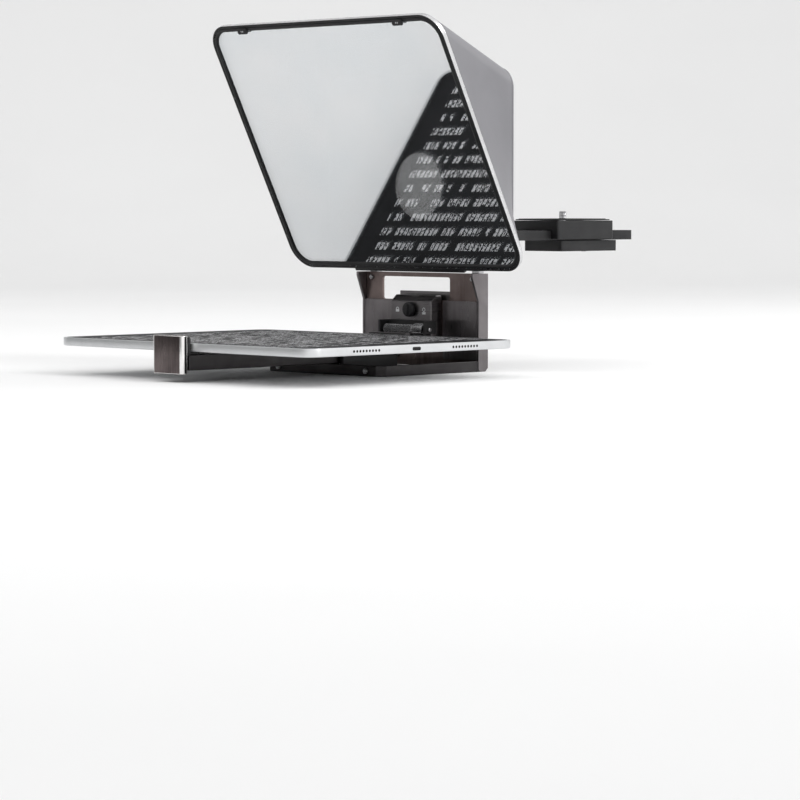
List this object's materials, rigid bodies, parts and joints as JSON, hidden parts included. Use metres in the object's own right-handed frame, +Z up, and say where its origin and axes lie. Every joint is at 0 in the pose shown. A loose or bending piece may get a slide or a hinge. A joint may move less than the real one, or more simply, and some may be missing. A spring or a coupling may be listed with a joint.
{
  "type": "teleprompter",
  "caption": "Tablet teleprompter: tilting beam-splitter glass with a closed hood, camera rail behind, height-adjustable column and clamping tablet tray below.",
  "frame": {"origin": "on the base pan's underside, midway across its width, where the object stands, close to below its centre of gravity", "axes": "+X to the right as the presenter's glass is seen from the front, +Y from the presenter towards the camera, +Z up"},
  "size_m": [0.29, 0.5086, 0.2776],
  "materials": {
    "anodised": "satin anodised, dark grey",
    "hood": "smooth matte grey",
    "black": "fine-grained black",
    "rim": "bright satin edge",
    "rubber": "soft black",
    "glass": "beam-splitter coating",
    "steel": "ground steel",
    "tablet": "bead-blasted silver",
    "screen": "glossy dark cover"
  },
  "bodies": {
    "base": {"base_pan": "anodised", "base_screw_left": "steel", "base_screw_right": "steel", "arm_sleeve": "anodised", "column_cheek_left": "anodised", "column_cheek_right": "anodised", "column_plate": "anodised", "column_cover_left": "anodised", "column_cover_right": "anodised", "column_screw_left": "steel", "column_screw_right": "steel", "guide_rail_left": "steel", "guide_rail_right": "steel", "rail_cap_left": "rubber", "rail_cap_right": "rubber", "latch_block": "anodised", "clamp_plate": "anodised", "roller_bracket": "anodised"},
    "carriage": {"shoe_left": "anodised", "shoe_right": "anodised", "carriage_crossbar": "anodised", "hinge_pin": "steel", "rail_bracket": "anodised", "bracket_screw_left": "steel", "bracket_screw_right": "steel", "camera_rail": "anodised", "tripod_foot": "anodised"},
    "head": {"frame_rim": "rim", "front_bezel": "black", "beam_splitter_glass": "glass", "glass_retainer": "black", "hinge_leaf": "black", "hood_shell": "hood", "back_panel": "black", "lens_ring": "black", "lens_collar": "rubber"},
    "clip_left": {"glass_clip_left": "black"},
    "clip_right": {"glass_clip_right": "black"},
    "height_lock_left": {"height_knob_left": "black"},
    "height_lock_right": {"height_knob_right": "black"},
    "arm": {"arm_channel": "anodised", "front_jaw": "anodised", "front_jaw_pad": "rubber", "arm_pad": "rubber"},
    "arm_lock": {"arm_lock_knob": "black"},
    "latch": {"latch_knob": "black"},
    "roller": {"jaw_roller": "black"},
    "rear_clamp": {"rear_jaw": "anodised", "rear_jaw_pad": "rubber"},
    "tablet": {"tablet_body": "tablet", "tablet_screen": "screen"},
    "plate": {"camera_plate": "anodised", "camera_pad": "rubber"},
    "plate_lock": {"plate_lock_knob": "black"},
    "screw": {"camera_screw": "steel"}
  },
  "joints": [
    {"name": "height_slide", "type": "slide", "parent": "base", "child": "carriage", "axis": [0, 0, 1], "range_m": [0, 0.077]},
    {"name": "head_tilt", "type": "hinge", "parent": "carriage", "child": "head", "pos_m": [0, 0.0555, 0.0824], "axis": [1, 0, 0], "range_deg": [0, 17.8]},
    {"name": "clip_left_turn", "type": "hinge", "parent": "head", "child": "clip_left", "pos_m": [-0.088, -0.05395, 0.27095], "axis": [0, -0.8894, -0.4571], "range_deg": [0, 90]},
    {"name": "clip_right_turn", "type": "hinge", "parent": "head", "child": "clip_right", "pos_m": [0.088, -0.05395, 0.27095], "axis": [0, -0.8894, -0.4571], "range_deg": [-90, 0]},
    {"name": "height_knob_left_turn", "type": "hinge", "parent": "carriage", "child": "height_lock_left", "pos_m": [-0.07, 0.0663, 0.092], "axis": [-1, 0, 0], "range_deg": [-360, 0]},
    {"name": "height_knob_right_turn", "type": "hinge", "parent": "carriage", "child": "height_lock_right", "pos_m": [0.07, 0.0663, 0.092], "axis": [1, 0, 0], "range_deg": [-360, 0]},
    {"name": "arm_slide", "type": "slide", "parent": "base", "child": "arm", "axis": [0, -1, 0], "range_m": [0, 0.035]},
    {"name": "arm_lock_turn", "type": "hinge", "parent": "base", "child": "arm_lock", "pos_m": [-0.025, -0.02, 0.0146], "axis": [-1, 0, 0], "range_deg": [-360, 0]},
    {"name": "latch_turn", "type": "hinge", "parent": "base", "child": "latch", "pos_m": [0, 0.046, 0.0485], "axis": [0, -1, 0], "range_deg": [0, 90]},
    {"name": "roller_turn", "type": "hinge", "parent": "base", "child": "roller", "pos_m": [0, 0.0405, 0.0328], "axis": [1, 0, 0], "range_deg": [0, 86]},
    {"name": "rear_jaw_slide", "type": "slide", "parent": "base", "child": "rear_clamp", "axis": [0, 1, 0], "range_m": [0, 0.006]},
    {"name": "tablet_lift", "type": "slide", "parent": "base", "child": "tablet", "axis": [0, 0, 1], "range_m": [0, 0.06]},
    {"name": "plate_slide", "type": "slide", "parent": "carriage", "child": "plate", "axis": [0, 1, 0], "range_m": [-0.09, 0.03]},
    {"name": "plate_lock_turn", "type": "hinge", "parent": "plate", "child": "plate_lock", "pos_m": [-0.03, 0.23, 0.1076], "axis": [-1, 0, 0], "range_deg": [-360, 0]},
    {"name": "camera_screw_turn", "type": "hinge", "parent": "plate", "child": "screw", "pos_m": [0, 0.23, 0.115], "axis": [0, 0, 1], "continuous": true}
  ]
}
